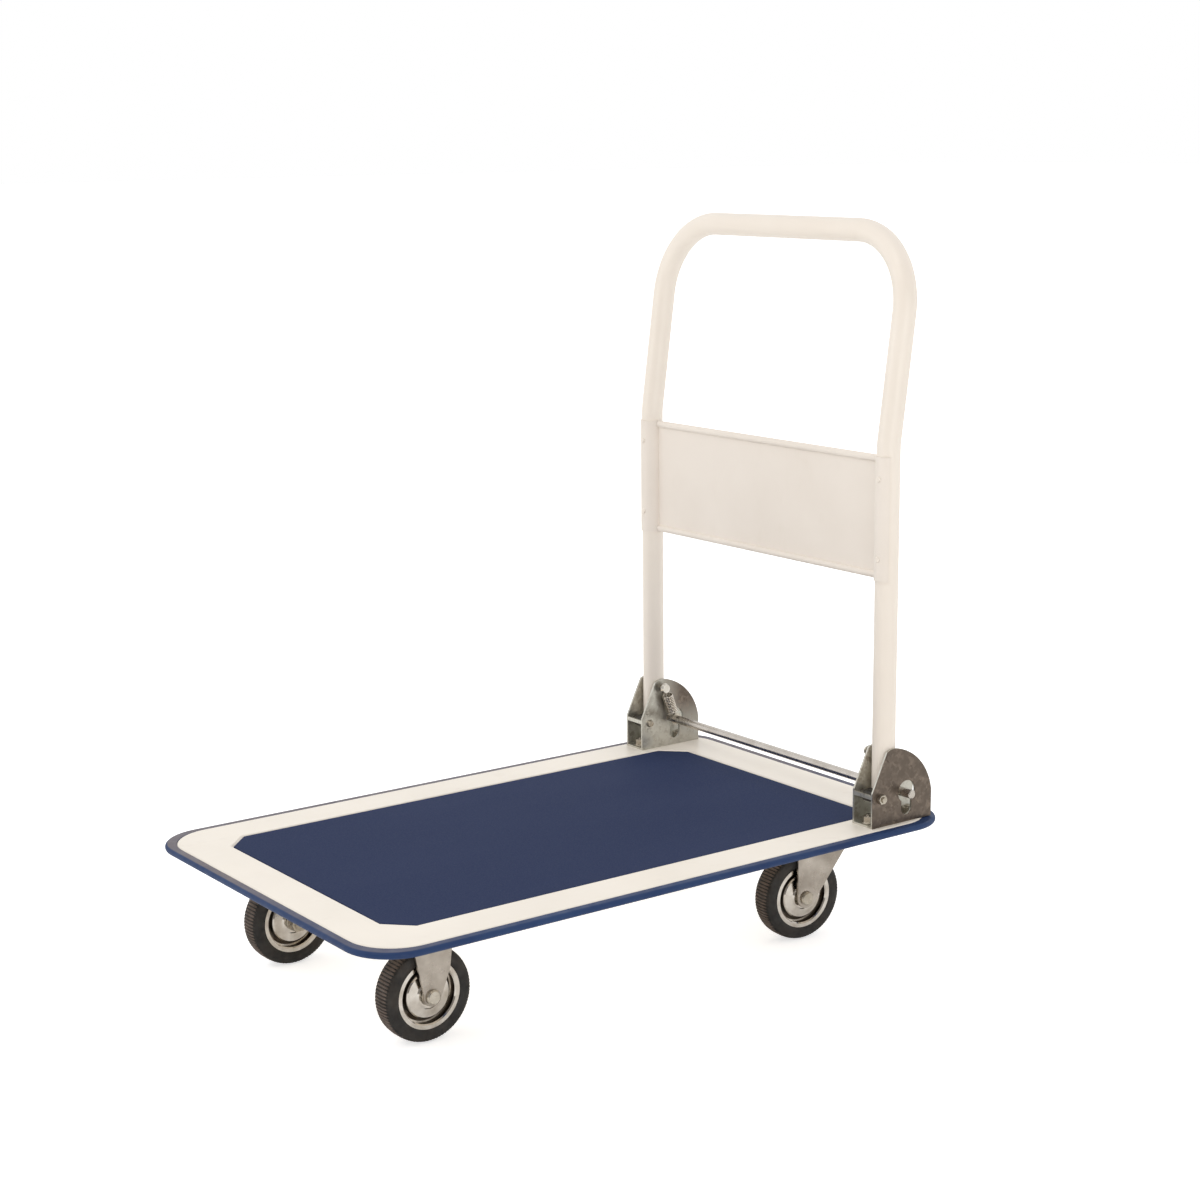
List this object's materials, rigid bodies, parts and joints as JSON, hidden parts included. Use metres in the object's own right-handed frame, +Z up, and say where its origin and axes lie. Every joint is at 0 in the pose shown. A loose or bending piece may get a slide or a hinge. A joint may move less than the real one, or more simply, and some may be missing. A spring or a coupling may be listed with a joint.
{
  "type": "platform truck",
  "caption": "Flatbed platform truck: rectangular steel deck with mat and edge bumper, folding tube push handle with name panel, foot-pressed lock rod, rigid and swivel casters.",
  "frame": {"origin": "bottom centre of the truck, on the floor under the middle of the deck", "axes": "+X towards the handle end, +Y to the left seen from the load end facing the handle, +Z up"},
  "size_m": [0.748, 0.48, 0.7893],
  "materials": {
    "deck_paint": "satin powder coat",
    "handle_paint": "satin powder coat",
    "mat": "fine-grained anti-slip vinyl",
    "bumper": "soft extruded vinyl",
    "bracket_zinc": "galvanised sheet with spangle",
    "fork_zinc": "bright zinc plate",
    "rim_zinc": "bright zinc plate",
    "fastener_zinc": "bright zinc plate",
    "rod_zinc": "zinc-plated bar",
    "foot_steel": "dark phosphated steel",
    "bush_steel": "plain steel",
    "spring_steel": "zinc-plated wire",
    "ball_steel": "polished",
    "tyre_rubber": "matt black rubber"
  },
  "bodies": {
    "deck": {"bracket_bolts": "fastener_zinc", "bracket_left": "bracket_zinc", "bracket_nuts": "fastener_zinc", "bracket_right": "bracket_zinc", "caster_bolts": "fastener_zinc", "caster_nuts": "fastener_zinc", "deck_mat": "mat", "deck_plate": "deck_paint", "deck_stiffeners": "deck_paint", "edge_bumper": "bumper", "handle_end_channel": "deck_paint", "kingpin_nuts": "fastener_zinc", "load_end_channel": "deck_paint", "pivot_bolts": "fastener_zinc", "pivot_nuts": "fastener_zinc", "rigid_axle_nuts": "fastener_zinc", "rigid_left_axle": "fastener_zinc", "rigid_left_fork": "fork_zinc", "rigid_left_washers": "fastener_zinc", "rigid_right_axle": "fastener_zinc", "rigid_right_fork": "fork_zinc", "rigid_right_washers": "fastener_zinc", "spring_left": "spring_steel", "spring_right": "spring_steel", "spring_studs": "fastener_zinc", "swivel_left_balls": "ball_steel", "swivel_left_kingpin": "fastener_zinc", "swivel_left_plate": "fork_zinc", "swivel_right_balls": "ball_steel", "swivel_right_kingpin": "fastener_zinc", "swivel_right_plate": "fork_zinc"},
    "handle": {"handle_tube": "handle_paint", "leg_foot_left": "foot_steel", "leg_foot_right": "foot_steel", "name_panel": "handle_paint", "panel_rivets": "handle_paint", "pivot_bushes": "bush_steel"},
    "lock_rod": {"lock_rod": "rod_zinc", "rod_clips": "fastener_zinc"},
    "swivel_left": {"swivel_left_axle": "fastener_zinc", "swivel_left_axle_nut": "fastener_zinc", "swivel_left_fork": "fork_zinc", "swivel_left_washers": "fastener_zinc"},
    "swivel_right": {"swivel_right_axle": "fastener_zinc", "swivel_right_axle_nut": "fastener_zinc", "swivel_right_fork": "fork_zinc", "swivel_right_washers": "fastener_zinc"},
    "rigid_wheel_left": {"rigid_left_bush": "bush_steel", "rigid_left_rim": "rim_zinc", "rigid_left_tyre": "tyre_rubber"},
    "rigid_wheel_right": {"rigid_right_bush": "bush_steel", "rigid_right_rim": "rim_zinc", "rigid_right_tyre": "tyre_rubber"},
    "swivel_wheel_left": {"swivel_left_bush": "bush_steel", "swivel_left_rim": "rim_zinc", "swivel_left_tyre": "tyre_rubber"},
    "swivel_wheel_right": {"swivel_right_bush": "bush_steel", "swivel_right_rim": "rim_zinc", "swivel_right_tyre": "tyre_rubber"}
  },
  "joints": [
    {"name": "handle_fold", "type": "hinge", "parent": "deck", "child": "handle", "pos_m": [0.2759, 0, 0.1705], "axis": [0, -1, 0], "range_deg": [0, 90]},
    {"name": "lock_rod_press", "type": "slide", "parent": "deck", "child": "lock_rod", "axis": [0.357, 0, -0.9341], "range_m": [0, 0.0182], "stiffness_N_per_m": 1500, "springref_m": -0.01, "deforming": ["spring_left", "spring_right"]},
    {"name": "swivel_left_turn", "type": "hinge", "parent": "deck", "child": "swivel_left", "pos_m": [0.26, 0.142, 0.1115], "axis": [0, 0, 1], "continuous": true},
    {"name": "swivel_left_wheel_spin", "type": "hinge", "parent": "swivel_left", "child": "swivel_wheel_left", "pos_m": [0.22904, 0.14038, 0.05], "axis": [-0.0523, 0.9986, 0], "continuous": true},
    {"name": "rigid_left_wheel_spin", "type": "hinge", "parent": "deck", "child": "rigid_wheel_left", "pos_m": [-0.2602, 0.1385, 0.05], "axis": [0, 1, 0], "continuous": true},
    {"name": "swivel_right_turn", "type": "hinge", "parent": "deck", "child": "swivel_right", "pos_m": [0.26, -0.142, 0.1115], "axis": [0, 0, 1], "continuous": true},
    {"name": "swivel_right_wheel_spin", "type": "hinge", "parent": "swivel_right", "child": "swivel_wheel_right", "pos_m": [0.22912, -0.1393, 0.05], "axis": [0.0872, 0.9962, 0], "continuous": true},
    {"name": "rigid_right_wheel_spin", "type": "hinge", "parent": "deck", "child": "rigid_wheel_right", "pos_m": [-0.2602, -0.1385, 0.05], "axis": [0, 1, 0], "continuous": true}
  ]
}
